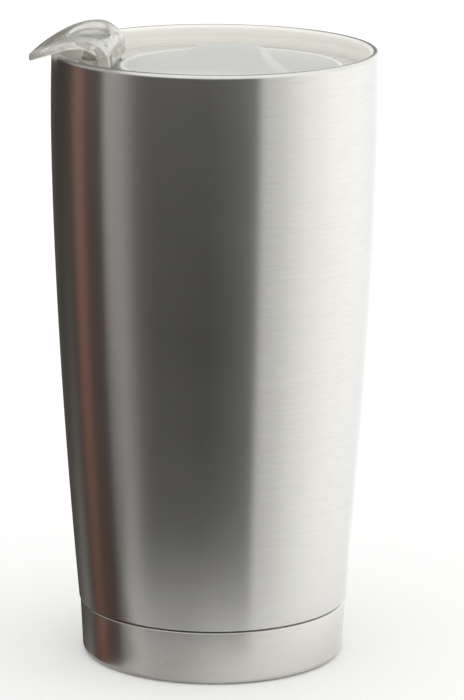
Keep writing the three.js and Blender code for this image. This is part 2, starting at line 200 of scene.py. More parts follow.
def rounded(points, closed=True):
    """Outline with its corners rounded. A point is (x, y) or (x, y, radius of the rounding)."""
    result = []
    count = len(points)
    for i, point in enumerate(points):
        here = Vector(point[:2])
        radius = point[2] if len(point) > 2 else 0
        at_end = not closed and i in (0, count - 1)
        if radius == 0 or at_end:
            result.append(tuple(here))
            continue
        back = Vector(points[i - 1][:2]) - here
        on = Vector(points[(i + 1) % count][:2]) - here
        half = back.angle(on) / 2
        reach = min(radius / math.tan(half), 0.49 * back.length, 0.49 * on.length)
        size = reach * math.tan(half)
        centre = here + (back.normalized() + on.normalized()).normalized() * size / math.sin(half)
        start = here + back.normalized() * reach - centre
        end = here + on.normalized() * reach - centre
        steps = max(2, round(math.degrees(math.pi - 2 * half) / 12))
        turn = start.angle_signed(end)
        for k in range(steps + 1):
            angle = -turn * k / steps
            spoke = Vector((start.x * math.cos(angle) - start.y * math.sin(angle),
                            start.x * math.sin(angle) + start.y * math.cos(angle)))
            result.append(tuple(centre + spoke))
    return result


def arc(x, y, radius, start, end, steps):
    """Points along an arc, angles in degrees."""
    angles = [math.radians(start + (end - start) * i / steps) for i in range(steps + 1)]
    return [(x + radius * math.cos(a), y + radius * math.sin(a)) for a in angles]


def wall(inset, start, end, steps):
    """Points of a wall that follows the outer wall, inset by some distance."""
    heights = [start + (end - start) * i / steps for i in range(steps + 1)]
    return [(body_radius(h) - inset, h) for h in heights]


def revolve(name, outline, segments=ROUND_SEGMENTS):
    """Closed solid of revolution about Z. The outline [radius, height] runs anticlockwise and is
    closed by itself, or starts and ends on the axis."""
    on_axis = outline[0][0] == 0
    points, rings = [], []
    for radius, height in outline:
        ring = len(points)
        if radius == 0:
            points.append((0, 0, height))
            rings.append([ring] * segments)
            continue
        for k in range(segments):
            angle = 2 * math.pi * k / segments
            points.append((radius * math.cos(angle), radius * math.sin(angle), height))
        rings.append(list(range(ring, ring + segments)))
    pairs = list(zip(rings, rings[1:]))
    if not on_axis:
        pairs.append((rings[-1], rings[0]))
    faces = []
    for low, high in pairs:
        for k in range(segments):
            n = (k + 1) % segments
            corners_of_face = [low[k], low[n], high[n], high[k]]
            face = [c for j, c in enumerate(corners_of_face) if c != corners_of_face[j - 1]]
            if len(face) > 2:
                faces.append(face)
    return add_object(name, points, faces)


def oval(name, outline, x):
    """Solid of revolution stretched across the lid and centred on x."""
    obj = revolve(name, outline, OVAL_SEGMENTS)
    obj.data.transform(Matrix.Translation((x, 0, 0)) @ Matrix.Diagonal((1, OVAL_RATIO, 1, 1)))
    return obj


def prism(name, outline, low, high, bevel=0.0):
    """Outline in the XZ plane, anticlockwise seen from -Y, made solid along Y with bevelled rims."""
    layers = [(low, 0), (high, 0)]
    if bevel:
        layers = [(low, bevel), (low + bevel, 0), (high - bevel, 0), (high, bevel)]
    centre = np.mean(np.array(outline), axis=0)
    points = []
    for y, inset in layers:
        for x, z in outline:
            spoke = Vector((x - centre[0], z - centre[1]))
            shrunk = spoke * (1 - inset / spoke.length)
            points.append((centre[0] + shrunk.x, y, centre[1] + shrunk.y))
    size = len(outline)
    faces = [list(range(size)), list(range(len(points) - 1, len(points) - size - 1, -1))]
    for layer in range(len(layers) - 1):
        for k in range(size):
            n = (k + 1) % size
            a, b = layer * size + k, layer * size + n
            faces.append([b, a, a + size, b + size])
    return add_object(name, points, faces)


def rod_across(name, radius, x, height, low, high, chamfer=0.0):
    """Round rod along Y, from low to high."""
    length = high - low
    outline = [(0, 0), (radius, 0), (radius, length), (0, length)]
    if chamfer:
        outline = [(0, 0), (radius - chamfer, 0), (radius, chamfer), (radius, length - chamfer),
                   (radius - chamfer, length), (0, length)]
    rod = revolve(name, outline, ROD_SEGMENTS)
    rod.data.transform(Matrix.Translation((x, low, height)) @ Matrix.Rotation(-math.pi / 2, 4, "X"))
    return rod


# ---- Materials -------------------------------------------------------------------------------
# Noise: scale along each axis per metre, detail, roughness. Bump: strength, depth in metres.
FINE_RINGS = ((130, 130, 2700), 3.0, 0.75)
BROAD_RINGS = ((14, 14, 420), 3.0, 0.6)
SMUDGES = ((26, 26, 26), 4.0, 0.55)
RING_BUMP = (0.08, 0.00002)
METAL_MOTTLE = ((300, 300, 300), 4.0, 0.6)
METAL_BUMP = (0.1, 0.00005)
METAL_DARKEST = 0.9               # of its tone
METAL_ROUGHNESS = (0.8, 1.2)      # lowest and highest, as shares of its roughness
MOULD_WAVE = ((90, 90, 90), 2.0, 0.5)
WAVE_BUMP = (0.15, 0.0002)
LIGHT_WEAR = ((900, 900, 900), 4.0, 0.65)
WORN_DARKEST = 0.985
WORN_ROUGHNESS = (0.5, 1.5)
EGGSHELL = ((1400, 1400, 1400), 2.0, 0.5)
EGGSHELL_BUMP = (0.05, 0.00003)
EGGSHELL_ROUGHNESS = (0.9, 1.1)
CLOUDING = ((60, 60, 60), 3.0, 0.5)
CLOUDED_DARKEST = 0.97
SCATTER_DEPTH = 0.002
SCATTER_COLOURS = (1.0, 1.0, 0.95)
COAT_ROUGHNESS = 0.08
NOISE_RANGE = (0.3, 0.7)          # where noise mostly lies
PLASTIC_INDEX = 1.49
STEEL_GRAIN = 0.045               # how far the rings are darker or lighter than the steel
FINE_SHARE = 0.8                  # how much of the rings is fine
SMUDGE_DEPTH = 0.03               # how far smudges change the roughness
LINER_ROUGHNESS = 0.5
LINER_METALLIC = 0.12             # satin finish, most of whose light scatters
INNER_LIP_RADII = (MOUTH_RADIUS - 1.6, MOUTH_RADIUS - 2.1)
INNER_LIP_HEIGHTS = (TAPER_END + 8, TAPER_END + 11)
# The panel's rim is painted paler between these radii: a painted highlight along its rounded edge.
PANEL_RIM_HIGHLIGHT_RADII = (PANEL_RADIUS - 1.9, PANEL_RADIUS - 0.9)
RIM_HIGHLIGHT_TONE = (0.84, 0.845, 0.82)    # painted highlight along the panel's rim
PALE_LIT_TONE = (0.96, 0.945, 0.89)    # the inside of the mouth's lip, and the liner: a pale tone, partly their satin steel's own colour and partly painted light that brightens the inside of the mouth


class Nodes:
    """A node tree, with short calls for its nodes. The place of a point is one of the outputs of
    its texture coordinates."""

    def __init__(self, tree, place):
        self.tree = tree
        self.place = self.node("ShaderNodeTexCoord").outputs[place]

    def node(self, kind, **settings):
        made = self.tree.nodes.new(kind)
        for name, value in settings.items():
            setattr(made, name, value)
        return made

    def link(self, output, to):
        self.tree.links.new(output, to)

    def feed(self, socket, value):
        """Links an output to a socket, or sets the socket to a number or a colour."""
        if isinstance(value, bpy.types.NodeSocket):
            self.link(value, socket)
        elif isinstance(value, (tuple, list)):
            socket.default_value = (*value, 1)
        else:
            socket.default_value = value

    def math(self, operation, *values):
        made = self.node("ShaderNodeMath", operation=operation)
        for socket, value in zip(made.inputs, values):
            self.feed(socket, value)
        return made.outputs[0]

    def along(self, direction):
        """How far the place lies along a direction."""
        dot = self.node("ShaderNodeVectorMath", operation="DOT_PRODUCT")
        self.link(self.place, dot.inputs[0])
        dot.inputs[1].default_value = direction
        return dot.outputs["Value"]

    def length(self, vector):
        measured = self.node("ShaderNodeVectorMath", operation="LENGTH")
        self.link(vector, measured.inputs[0])
        return measured.outputs["Value"]

    def rise(self, value, start, end):
        """Rises smoothly from 0 to 1 between start and end."""
        span = self.node("ShaderNodeMapRange", interpolation_type="SMOOTHSTEP")
        span.inputs["From Min"].default_value = start
        span.inputs["From Max"].default_value = end
        self.link(value, span.inputs["Value"])
        return span.outputs["Result"]

    def blend(self, share, first, second):
        """Colour between two colours, by a share."""
        mix = self.node("ShaderNodeMix", data_type="RGBA")
        self.feed(mix.inputs[0], share)
        self.feed(mix.inputs[6], first)
        self.feed(mix.inputs[7], second)
        return mix.outputs[2]

    def between(self, share, first, second):
        """Number between two numbers, by a share."""
        mix = self.node("ShaderNodeMix", data_type="FLOAT")
        self.feed(mix.inputs[0], share)
        self.feed(mix.inputs[2], first)
        self.feed(mix.inputs[3], second)
        return mix.outputs[0]


class Paint(Nodes):
    """A node material with one Principled shader."""

    def __init__(self, name):
        self.material = bpy.data.materials.new(name)
        self.material.use_nodes = True
        super().__init__(self.material.node_tree, "Object")
        self.shader = self.tree.nodes["Principled BSDF"]

    def set(self, **values):
        for name, value in values.items():
            self.shader.inputs[name.replace("_", " ")].default_value = value

    def stretched(self, scale, shift=(0, 0, 0)):
        """Object coordinates scaled along each axis, then shifted."""
        mapping = self.node("ShaderNodeMapping")
        mapping.inputs["Location"].default_value = shift
        mapping.inputs["Scale"].default_value = scale
        self.link(self.place, mapping.inputs["Vector"])
        return mapping.outputs["Vector"]

    def noise(self, scale, detail, roughness):
        """Noise from 0 to 1 over the object coordinates scaled along each axis."""
        noise = self.node("ShaderNodeTexNoise")
        noise.inputs["Scale"].default_value = 1.0
        noise.inputs["Detail"].default_value = detail
        noise.inputs["Roughness"].default_value = roughness
        self.link(self.stretched(scale), noise.inputs["Vector"])
        return noise.outputs["Fac"]

    def scaled(self, value, low, high, start=0.0, end=1.0):
        """Maps start..end to low..high."""
        span = self.node("ShaderNodeMapRange")
        span.inputs["From Min"].default_value = start
        span.inputs["From Max"].default_value = end
        span.inputs["To Min"].default_value = low
        span.inputs["To Max"].default_value = high
        self.link(value, span.inputs["Value"])
        return span.outputs["Result"]

    def spread(self, value, low, high):
        """Maps the range where noise mostly lies to low..high."""
        return self.scaled(value, low, high, *NOISE_RANGE)

    def distance_from(self, x):
        """Horizontal distance from the upright line through x, which is in millimetres."""
        return self.length(self.stretched((1, 1, 0), (-x * MM, 0, 0)))

    def inner_lip(self):
        """1 on the inside of the rolled lip at the mouth, 0 on the rest of the wall."""
        inside = self.rise(self.distance_from(0), *(r * MM for r in INNER_LIP_RADII))
        high = self.rise(self.along((0, 0, 1)), *(h * MM for h in INNER_LIP_HEIGHTS))
        return self.math("MULTIPLY", inside, high)

    def colour(self, output):
        self.link(output, self.shader.inputs["Base Color"])

    def roughness(self, output):
        self.link(output, self.shader.inputs["Roughness"])

    def bump(self, height, strength, distance):
        bump = self.node("ShaderNodeBump")
        bump.inputs["Strength"].default_value = strength
        bump.inputs["Distance"].default_value = distance
        self.link(height, bump.inputs["Height"])
        self.link(bump.outputs["Normal"], self.shader.inputs["Normal"])


def brushed_steel(name, tone, roughness, anisotropy, grain=STEEL_GRAIN, metallic=1.0,
                  lit_lip_tone=None):
    """Steel brushed round the axis: fine rings in its colour, roughness and bump. With a lip tone
    the inside of the mouth's rolled lip is satin, like the liner, and painted pale: painted light that
    brightens the inside of the mouth."""
    paint = Paint(name)
    broad = paint.math("MULTIPLY", paint.noise(*BROAD_RINGS), 1 - FINE_SHARE)
    rings = paint.math("MULTIPLY_ADD", paint.noise(*FINE_RINGS), FINE_SHARE, broad)
    smudge = paint.noise(*SMUDGES)
    dark = [c * (1 - grain) for c in tone]
    light = [min(1, c * (1 + grain)) for c in tone]
    colour = paint.blend(paint.spread(rings, 0, 1), dark, light)
    gloss = paint.scaled(smudge, roughness - SMUDGE_DEPTH, roughness + SMUDGE_DEPTH)
    paint.set(Metallic=metallic, Anisotropic=anisotropy, Anisotropic_Rotation=0.25)
    # painted light: the inside of the lip gets the liner's pale tone, along with its satin roughness and
    # metallic
    if lit_lip_tone:
        inner = paint.inner_lip()
        colour = paint.blend(inner, colour, lit_lip_tone)
        gloss = paint.between(inner, gloss, LINER_ROUGHNESS)
        paint.link(paint.scaled(inner, metallic, LINER_METALLIC), paint.shader.inputs["Metallic"])
    paint.colour(colour)
    paint.roughness(gloss)
    paint.bump(rings, *RING_BUMP)
    tangent = paint.node("ShaderNodeTangent", direction_type="RADIAL", axis="Z")
    paint.link(tangent.outputs[0], paint.shader.inputs["Tangent"])
    return paint.material


def plain_metal(name, tone, roughness):
    """Rolled or turned metal with faint mottling."""
    paint = Paint(name)
    mottle = paint.noise(*METAL_MOTTLE)
    dark = [c * METAL_DARKEST for c in tone]
    paint.colour(paint.blend(paint.spread(mottle, 0, 1), dark, tone))
    paint.roughness(paint.spread(mottle, *(roughness * share for share in METAL_ROUGHNESS)))
    paint.bump(mottle, *METAL_BUMP)
    paint.set(Metallic=1.0)
    return paint.material


def clear_plastic(name, tone, roughness, clarity):
    """Clear moulded plastic with the faint waviness of its mould, light wear, and some haze."""
    paint = Paint(name)
    wear = paint.noise(*LIGHT_WEAR)
    worn = [c * WORN_DARKEST for c in tone]
    paint.colour(paint.blend(paint.spread(wear, 0, 1), worn, tone))
    paint.roughness(paint.spread(wear, *(roughness * share for share in WORN_ROUGHNESS)))
    paint.bump(paint.noise(*MOULD_WAVE), *WAVE_BUMP)
    paint.set(Transmission_Weight=clarity, IOR=PLASTIC_INDEX)
    return paint.material


def moulded_plastic(name, tone, roughness, translucency, coat=0.0, rim=False):
    """Pale moulded plastic, slightly translucent, with a very fine eggshell surface. With rim set,
    the panel's rim is painted paler: a painted highlight along its rounded edge."""
    paint = Paint(name)
    eggshell = paint.noise(*EGGSHELL)
    dark = [c * CLOUDED_DARKEST for c in tone]
    colour = paint.blend(paint.spread(paint.noise(*CLOUDING), 0, 1), dark, tone)
    # painted highlight: a paler tone towards the panel's rim
    if rim:
        at_rim_highlight = paint.rise(paint.distance_from(PANEL_X), *(r * MM for r in PANEL_RIM_HIGHLIGHT_RADII))
        colour = paint.blend(at_rim_highlight, colour, RIM_HIGHLIGHT_TONE)
    paint.colour(colour)
    paint.roughness(paint.spread(eggshell, *(roughness * share for share in EGGSHELL_ROUGHNESS)))
    paint.bump(eggshell, *EGGSHELL_BUMP)
    paint.set(Subsurface_Weight=translucency, Subsurface_Scale=SCATTER_DEPTH,
              Subsurface_Radius=SCATTER_COLOURS, Coat_Weight=coat, Coat_Roughness=COAT_ROUGHNESS)
    return paint.material


# ---- Steel vessel ----------------------------------------------------------------------------
def shell_piece():
    lip_base = RIM_HEIGHT - LIP_RADIUS
    seam_edge = SEAM_HEIGHT + 0.2
    wall_start = SEAM_HEIGHT + 0.6
    weld = lip_base - LIP_RETURN
    outline = [(NECK_RADIUS - SHEET, SHELL_LOW.z), (NECK_RADIUS, seam_edge)]
    outline += rounded([(NECK_RADIUS, SEAM_HEIGHT), (body_radius(seam_edge), seam_edge, 0.35),
                        (body_radius(wall_start), wall_start)], closed=False)[1:]
    outline += wall(0, wall_start + 0.4, TAPER_END, 48)
    outline += wall(0, SHOULDER_START, lip_base - 0.2, 16)
    outline += arc(body_radius(lip_base) - LIP_RADIUS, lip_base, LIP_RADIUS, 4, 180, 24)
    outline += [(BORE_RADIUS, weld), (MOUTH_RADIUS - SHEET, weld)]
    outline += wall(SHEET, TAPER_END, wall_start + SHEET, 24)
    outline += [(NECK_RADIUS - SHEET, SEAM_HEIGHT + SHEET), (NECK_RADIUS - 2 * SHEET, SHELL_LOW.z)]
    return crease(revolve("shell_body", outline))


def liner_piece():
    top = RIM_HEIGHT - LIP_RADIUS - LIP_RETURN - 0.02
    floor = LINER_LOW.z
    corner_height = floor + LINER_CORNER
    corner_radius = body_radius(corner_height) - WALL_INSET - LINER_CORNER
    start = corner_height + 2 * LINER_CORNER
    outline = [(0, floor)]
    outline += arc(corner_radius, corner_height, LINER_CORNER, -90, 0, 10)
    outline += wall(WALL_INSET, start, LEDGE_HEIGHT - 2.3, 32)
    outline += [(BORE_RADIUS + SHEET, LEDGE_HEIGHT - 0.3), (BORE_RADIUS + SHEET, top), (BORE_RADIUS, top)]
    inner_ledge = body_radius(LEDGE_HEIGHT - 2) - WALL_INSET - SHEET
    outline += rounded([(BORE_RADIUS, top), (BORE_RADIUS, LEDGE_HEIGHT, 0.6),
                        (inner_ledge, LEDGE_HEIGHT - 2, 0.6), (inner_ledge, LEDGE_HEIGHT - 20)],
                       closed=False)[1:-1]
    outline += wall(WALL_INSET + SHEET, LEDGE_HEIGHT - 4, start, 32)
    outline += arc(corner_radius, corner_height, LINER_CORNER - SHEET, 0, -90, 10)
    outline += [(0, floor + SHEET)]
    return crease(revolve("liner_cup", outline))


def cap_piece():
    foot = CAP_FOOT_RADIUS - CAP_ROUNDING
    outline = [(0, 0)]
    outline += rounded([(0, 0), (FOOT_GROOVE_INNER, 0, 0.4), (FOOT_GROOVE_INNER + 0.8, SHEET, 0.4),
                        (FOOT_GROOVE_OUTER - 0.8, SHEET, 0.4), (FOOT_GROOVE_OUTER, 0, 0.4),
                        (foot, 0)], closed=False)[1:-1]
    outline += arc(foot, CAP_ROUNDING, CAP_ROUNDING, -90, 0, 12)
    outline += rounded([outline[-1], (CAP_RADIUS, CAP_HIGH.z, 0.45),
                        (CAP_RADIUS - SHEET, CAP_HIGH.z, 0.1),
                        (foot + CAP_ROUNDING - SHEET, CAP_ROUNDING)], closed=False)[1:-1]
    outline += arc(foot, CAP_ROUNDING, CAP_ROUNDING - SHEET, 0, -90, 8)
    outline += [(FOOT_GROOVE_OUTER + 0.3, SHEET), (FOOT_GROOVE_OUTER - 0.5, 2 * SHEET),
                (FOOT_GROOVE_INNER + 0.5, 2 * SHEET), (FOOT_GROOVE_INNER - 0.3, SHEET), (0, SHEET)]
    return crease(revolve("base_cap_steel", outline))


# ---- Lid -------------------------------------------------------------------------------------
def lug_outline():
    """Side view of a hinge lug: a round head on a narrower post with a flared foot."""
    foot = FLOOR_TOP - 0.5
    right = [(LUG_RADIUS + 0.9, foot), (LUG_RADIUS, FLOOR_TOP + 0.6),
             (POST_HALF_DEPTH, FLOOR_TOP + 1.8), (POST_HALF_DEPTH, HINGE_HEIGHT - 1.6)]
    outline = [(HINGE_X + x, z) for x, z in right]
    outline += arc(HINGE_X, HINGE_HEIGHT, LUG_RADIUS, -48, 228, 28)
    outline += [(HINGE_X - x, z) for x, z in reversed(right)]
    return outline


def through_floor(radius, edge=0.35):
    """Cutter outline through the lid's floor that rounds off the rims of its hole."""
    return [(0, FLOOR_BOTTOM - 1), (radius + edge, FLOOR_BOTTOM - 1), (radius + edge, FLOOR_BOTTOM),
            (radius, FLOOR_BOTTOM + edge), (radius, FLOOR_TOP - edge), (radius + edge, FLOOR_TOP),
            (radius + edge, FLOOR_TOP + 1), (0, FLOOR_TOP + 1)]


def lid_piece():
    inner = SKIRT_RADIUS - SKIRT_THICKNESS
    groove = SKIRT_RADIUS - GROOVE_DEPTH
    outline = rounded([
        (0, FLOOR_BOTTOM), (inner, FLOOR_BOTTOM, 1.2), (inner, SKIRT_BOTTOM, 0.5),
        (SKIRT_RADIUS, SKIRT_BOTTOM, 0.7), (SKIRT_RADIUS, GROOVE_BOTTOM, 0.15),
        (groove, GROOVE_BOTTOM, 0.15), (groove, GROOVE_TOP, 0.15), (SKIRT_RADIUS, GROOVE_TOP, 0.15),
        (SKIRT_RADIUS, FLOOR_BOTTOM, 0.4), (FLANGE_RADIUS, FLOOR_BOTTOM, 0.4),
        (FLANGE_RADIUS, FLOOR_TOP, 0.6), (0, FLOOR_TOP),
    ], closed=False)
    body = revolve("lid_clear_body", outline)
    width = LUG_OUTER - LUG_INNER
    lugs = [prism("lug", lug_outline(), y, y + width, 0.3) for y in (-LUG_OUTER, LUG_INNER)]
    combine(body, "UNION", lugs)
    sip = oval("sip", through_floor(SIP_HALF_DEPTH), SIP_X)
    vent = revolve("vent", through_floor(VENT_RADIUS, 0.2), 32)
    vent.data.transform(Matrix.Translation((VENT_X, 0, 0)))
    bore = rod_across("bore", PIN_RADIUS + LUG_PLAY, HINGE_X, HINGE_HEIGHT, -BORE_REACH, BORE_REACH)
    combine(body, "DIFFERENCE", [sip, vent, bore])
    return crease(body)


def gasket_piece():
    inner = SKIRT_RADIUS - 0.75
    low, high = GASKET_LOW.z, GASKET_HIGH.z
    tip = GASKET_HIGH.x
    outline = rounded([
        (inner, low, 0.2), (SKIRT_RADIUS + 0.6, low, 0.3), (tip, low + 0.5, 0.25), (tip, low + 0.9, 0.2),
        (SKIRT_RADIUS + 1, low + 1.1, 0.3), (tip, high - 0.6, 0.2), (tip, high - 0.1, 0.2),
        (SKIRT_RADIUS + 0.5, high, 0.3), (inner, high, 0.2),
    ])
    return crease(revolve("gasket_ring", outline))


def distance_to_grip(points):
    """Signed distance of each point [x, y] to the grip's outline, negative inside."""
    nearest = np.full(len(points), 1e9)
    inside = np.zeros(len(points), bool)
    outline = np.array(GRIP_OUTLINE, float)
    for a, b in zip(outline, np.roll(outline, -1, axis=0)):
        edge = b - a
        share = np.clip((points - a) @ edge / (edge @ edge), 0, 1)
        away = points - a - share[:, None] * edge
        nearest = np.minimum(nearest, np.hypot(away[:, 0], away[:, 1]))
        crosses = (a[1] > points[:, 1]) != (b[1] > points[:, 1])
        span = b[1] - a[1] if b[1] != a[1] else 1e-9
        inside ^= crosses & (points[:, 0] < a[0] + (points[:, 1] - a[1]) * edge[0] / span)
    return np.where(inside, -nearest, nearest)


def smooth_step(values, start, end):
    share = np.clip((values - start) / (end - start), 0, 1)
    return share * share * (3 - 2 * share)


def panel_height(points):
    """Height of the panel's top over points [x, y] from its centre: rim, scoops and grip."""
    radius = np.hypot(points[:, 0], points[:, 1])
    bowl = smooth_step(PANEL_RADIUS - radius, *RIM_SLOPE) * RIM_STEP
    bowl += smooth_step(PANEL_RADIUS - radius, *SCOOP_SLOPE) * SCOOP_DEPTH
    scoop = PANEL_RIM - bowl
    nearness = smooth_step(-points[:, 1], *GRIP_EDGE_CHANGE)
    softness = GRIP_EDGE_FAR + (GRIP_EDGE_NEAR - GRIP_EDGE_FAR) * nearness
    raise_share = 1 - smooth_step(distance_to_grip(points), -softness, 0.8 * softness)
    return scoop + (GRIP_TOP - 0.05 - scoop) * raise_share


def panel_rings():
    """Rings of points from near the panel's centre over its rim and down to its foot."""
    angles = np.linspace(0, 2 * math.pi, ROUND_SEGMENTS, endpoint=False)
    spokes = np.column_stack([np.cos(angles), np.sin(angles)])
    flat_radius = PANEL_RADIUS - PANEL_EDGE
    radii = [flat_radius * i / PANEL_STEPS for i in range(1, PANEL_STEPS + 1)]
    rings = [(radius, panel_height(spokes * radius)) for radius in radii]
    rim = rings[-1][1]
    for step in range(1, PANEL_EDGE_STEPS + 1):
        angle = math.pi / 2 * step / PANEL_EDGE_STEPS
        drop = PANEL_EDGE * (1 - math.cos(angle))
        rings.append((flat_radius + PANEL_EDGE * math.sin(angle), rim - drop))
    level = np.full(ROUND_SEGMENTS, PANEL_LOW.z)
    rings += [(PANEL_RADIUS, level + PANEL_CHAMFER), (PANEL_RADIUS - PANEL_CHAMFER, level)]
    return [[(x * radius, y * radius, z) for (x, y), z in zip(spokes, heights)]
            for radius, heights in rings]


def panel_piece():
    rings = panel_rings()
    points = [(0, 0, float(panel_height(np.zeros((1, 2)))[0]))]
    for ring in rings:
        points += ring
    points.append((0, 0, PANEL_LOW.z))
    last = len(points) - 1
    end = last - ROUND_SEGMENTS
    faces = []
    for k in range(ROUND_SEGMENTS):
        n = (k + 1) % ROUND_SEGMENTS
        faces.append([0, 1 + k, 1 + n])
        for a in range(1, end, ROUND_SEGMENTS):
            b = a + ROUND_SEGMENTS
            faces.append([a + k, b + k, b + n, a + n])
        faces.append([end + k, last, end + n])
    panel = add_object("lid_grip_panel", points, faces)
    panel.data.transform(Matrix.Translation((PANEL_X, 0, 0)))
    return crease(panel, 50)


def pin_piece():
    rod = rod_across("hinge_rod", PIN_RADIUS, HINGE_X, HINGE_HEIGHT, PIN_LOW.y, PIN_HIGH.y, 0.2)
    return crease(rod)


# ---- Flip lever ------------------------------------------------------------------------------
HOOD_THICKNESS = 2.8
HOOD_TIP_THICKNESS = 1.9
HOOD_CROWN = 0.2
HOOD_CHANNEL = 1.25               # depth of the channel under it, which gives the lip room
HOOD_CHANNEL_START = (0.02, 0.2)  # where that channel starts and ends, as shares of its length
HOOD_CHANNEL_END = (0.34, 0.48)
HOOD_HALF_WIDTH = LEVER_HIGH.y
HOOD_WIDEST_X = -34.5
HOOD_TIP_BLUNTNESS = 0.25
HOOD_ROOT_REACH = 20
HOOD_LINE = [(LEVER_LOW.x, -2.2), (-47.3, 0.15), (-42.2, 2.9), (-37.2, 4.4), (-32.2, 4.35),
             (-28.4, 1.95), (-26.95, -0.65), (-26.6, -4.5)]  # side view: x, height over the rim
HOOD_STEPS = 110                  # from the tip to the root
HOOD_STEPS_ACROSS = 72
KNUCKLE_RADIUS = 1.7
STEM_BOTTOM = 163.9
STEM_WAIST = 166.5
STEM_TOP = 170.8
RECESS_X = -34.3
RECESS_FLOOR = RIM_HEIGHT + 2.7
RECESS_PROFILE = [(0, 0), (2.4, 0.02), (4.4, 0.1), (5.2, 0.35), (5.7, 0.85), (6.0, 1.5), (6.4, 2.4),
                  (7.2, 4.5), (0, 4.5)]
LEVER_VOXEL = 0.2
LEVER_SMOOTHING = 40


def spline(points, steps):
    """Centripetal Catmull-Rom curve through the points, in equal steps along its length."""
    knots = [np.array(p, float) for p in points]
    knots = [2 * knots[0] - knots[1], *knots, 2 * knots[-1] - knots[-2]]
    dense = []
    for p0, p1, p2, p3 in zip(knots, knots[1:], knots[2:], knots[3:]):
        d0, d1, d2 = (math.sqrt(np.linalg.norm(b - a)) for a, b in ((p0, p1), (p1, p2), (p2, p3)))
        out = ((p1 - p0) / d0 - (p2 - p0) / (d0 + d1) + (p2 - p1) / d1) * d1
        into = ((p2 - p1) / d1 - (p3 - p1) / (d1 + d2) + (p3 - p2) / d2) * d1
        for t in np.linspace(0, 1, 60, endpoint=False):
            dense.append((2 * t**3 - 3 * t**2 + 1) * p1 + (t**3 - 2 * t**2 + t) * out
                         + (3 * t**2 - 2 * t**3) * p2 + (t**3 - t**2) * into)
    dense = np.array([*dense, knots[-2]])
    length = np.concatenate([[0], np.cumsum(np.linalg.norm(np.diff(dense, axis=0), axis=1))])
    wanted = np.linspace(0, length[-1], steps + 1)
    return np.column_stack([np.interp(wanted, length, dense[:, k]) for k in (0, 1)])


def hood_half_width(x):
    reach = HOOD_ROOT_REACH
    if x < HOOD_WIDEST_X:
        reach = HOOD_WIDEST_X - LEVER_LOW.x + HOOD_TIP_BLUNTNESS
    share = abs(x - HOOD_WIDEST_X) / reach
    return HOOD_HALF_WIDTH * math.sqrt(max(0, 1 - share * share))


def hood_loop(place, tangent, along):
    """Closed loop of points across the hood, at a share of its length from the tip."""
    tangent = tangent / np.linalg.norm(tangent)
    normal = np.array([-tangent[1], tangent[0]])
    away = min(1, 4 * along)
    thickness = HOOD_TIP_THICKNESS + (HOOD_THICKNESS - HOOD_TIP_THICKNESS) * away
    inward = np.array([0, -1]) * (1 - away) - normal * away
    inward = inward / np.linalg.norm(inward)
    channel = HOOD_CHANNEL * smooth_step(along, *HOOD_CHANNEL_START)
    channel = channel * (1 - smooth_step(along, *HOOD_CHANNEL_END))
    half_width = hood_half_width(place[0])
    drop = HOOD_CROWN * math.sin(math.pi * along)
    upper, lower = [], []
    for across in np.linspace(-1, 1, HOOD_STEPS_ACROSS + 1):
        top = place - normal * drop * across * across
        under = top + inward * (thickness - channel * (1 - across * across))
        y = across * half_width
        upper.append((top[0], y, top[1]))
        lower.insert(0, (under[0], y, under[1]))
    return upper + lower


def hood_piece():
    """The curved shell, from a loop of points at each step from the tip to the root."""
    line = spline([(x, RIM_HEIGHT + z) for x, z in HOOD_LINE], HOOD_STEPS)
    points = []
    for i, (place, tangent) in enumerate(zip(line, np.gradient(line, axis=0))):
        points += hood_loop(place, tangent, i / HOOD_STEPS)
    size = 2 * (HOOD_STEPS_ACROSS + 1)
    faces = []
    for start in range(0, HOOD_STEPS * size, size):
        for j in range(size):
            a, b = start + j, start + (j + 1) % size
            faces.append([a, a + size, b + size, b])
    end = len(points) - size
    for j in range(HOOD_STEPS_ACROSS):
        across = size - 1 - j
        faces.append([j, j + 1, across - 1, across])
        faces.append([end + j, end + across, end + across - 1, end + j + 1])
    return add_object("lever_hood", points, faces)


def cube(name, centre, size):
    x, y, z = (s / 2 for s in size)
    shape = prism(name, [(-x, -z), (x, -z), (x, z), (-x, z)], -y, y)
    shape.data.transform(Matrix.Translation(centre))
    return shape


def recess_cutter():
    """Shallow oval bowl for the thumb, with a nearly flat floor and rounded sides."""
    return oval("recess", [(radius, RECESS_FLOOR + rise) for radius, rise in RECESS_PROFILE], RECESS_X)


def even_out(obj):
    """Remakes a mesh with even faces and rounds its edges."""
    remesh = obj.modifiers.new("even", "REMESH")
    remesh.mode = "VOXEL"
    remesh.voxel_size = LEVER_VOXEL
    remesh.use_smooth_shade = True
    soften = obj.modifiers.new("soften", "SMOOTH")
    soften.factor = 0.5
    soften.iterations = LEVER_SMOOTHING
    apply_modifiers(obj)
    obj.data.shade_smooth()


